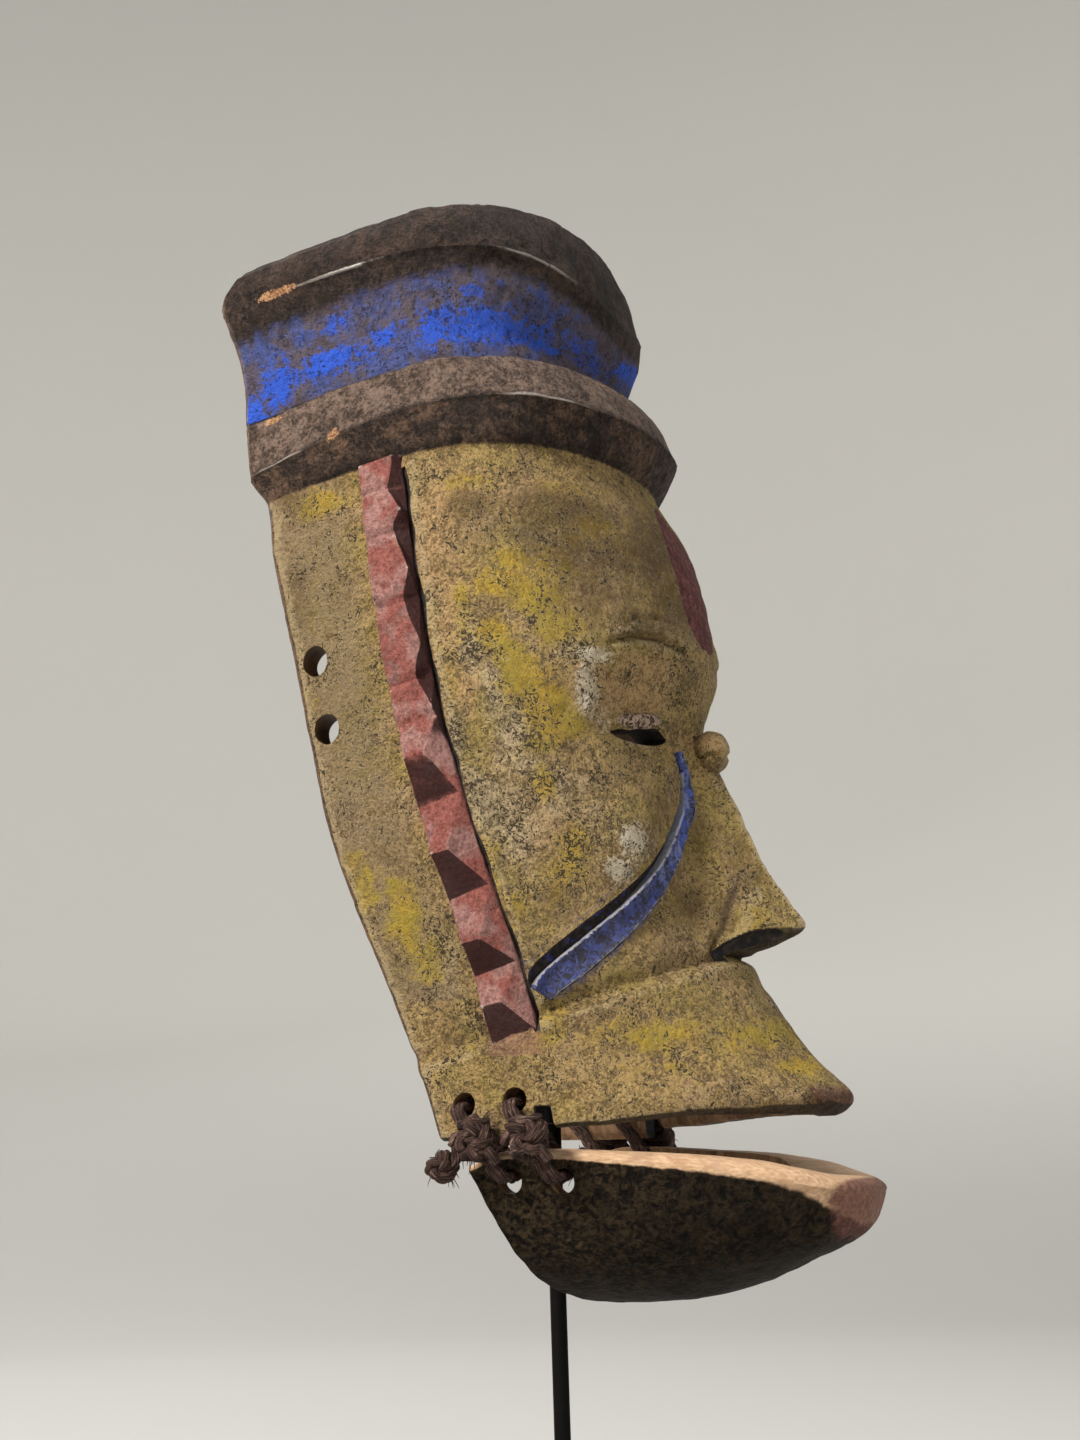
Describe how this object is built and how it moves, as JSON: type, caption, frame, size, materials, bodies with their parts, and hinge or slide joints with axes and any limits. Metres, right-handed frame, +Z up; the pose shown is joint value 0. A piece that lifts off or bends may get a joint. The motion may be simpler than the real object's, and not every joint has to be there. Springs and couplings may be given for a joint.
{
  "type": "carved wooden mask",
  "caption": "Carved wooden face mask with a banded hat, an open-backed hollow and a cord-tied lower jaw that hinges open, on a slim round rod with a square steel foot.",
  "frame": {"origin": "centre of the foot's underside, straight under the rod", "axes": "+X is the way the face looks, +Y the mask's own left, +Z up along the rod"},
  "size_m": [0.1726, 0.1476, 0.4546],
  "materials": {
    "painted_wood": "worn ochre, blue and red-brown paint over dark wood",
    "jaw_wood": "pitted dark brown wood with a paler worn rim",
    "cord": "twisted plant-fibre cord, matte",
    "black_steel": "matte black"
  },
  "bodies": {
    "mask": {"mask": "painted_wood", "rod": "black_steel", "foot": "black_steel", "lashing_right_rear": "cord", "lashing_right_front": "cord", "lashing_left_rear": "cord", "lashing_left_front": "cord"},
    "jaw": {"jaw": "jaw_wood"}
  },
  "joints": [
    {"name": "jaw_hinge", "type": "hinge", "parent": "mask", "child": "jaw", "pos_m": [0.0065, 0, 0.1754], "axis": [0, 1, 0], "range_deg": [-6.5, 15], "deforming": ["lashing_right_rear", "lashing_right_front", "lashing_left_rear", "lashing_left_front"]}
  ]
}
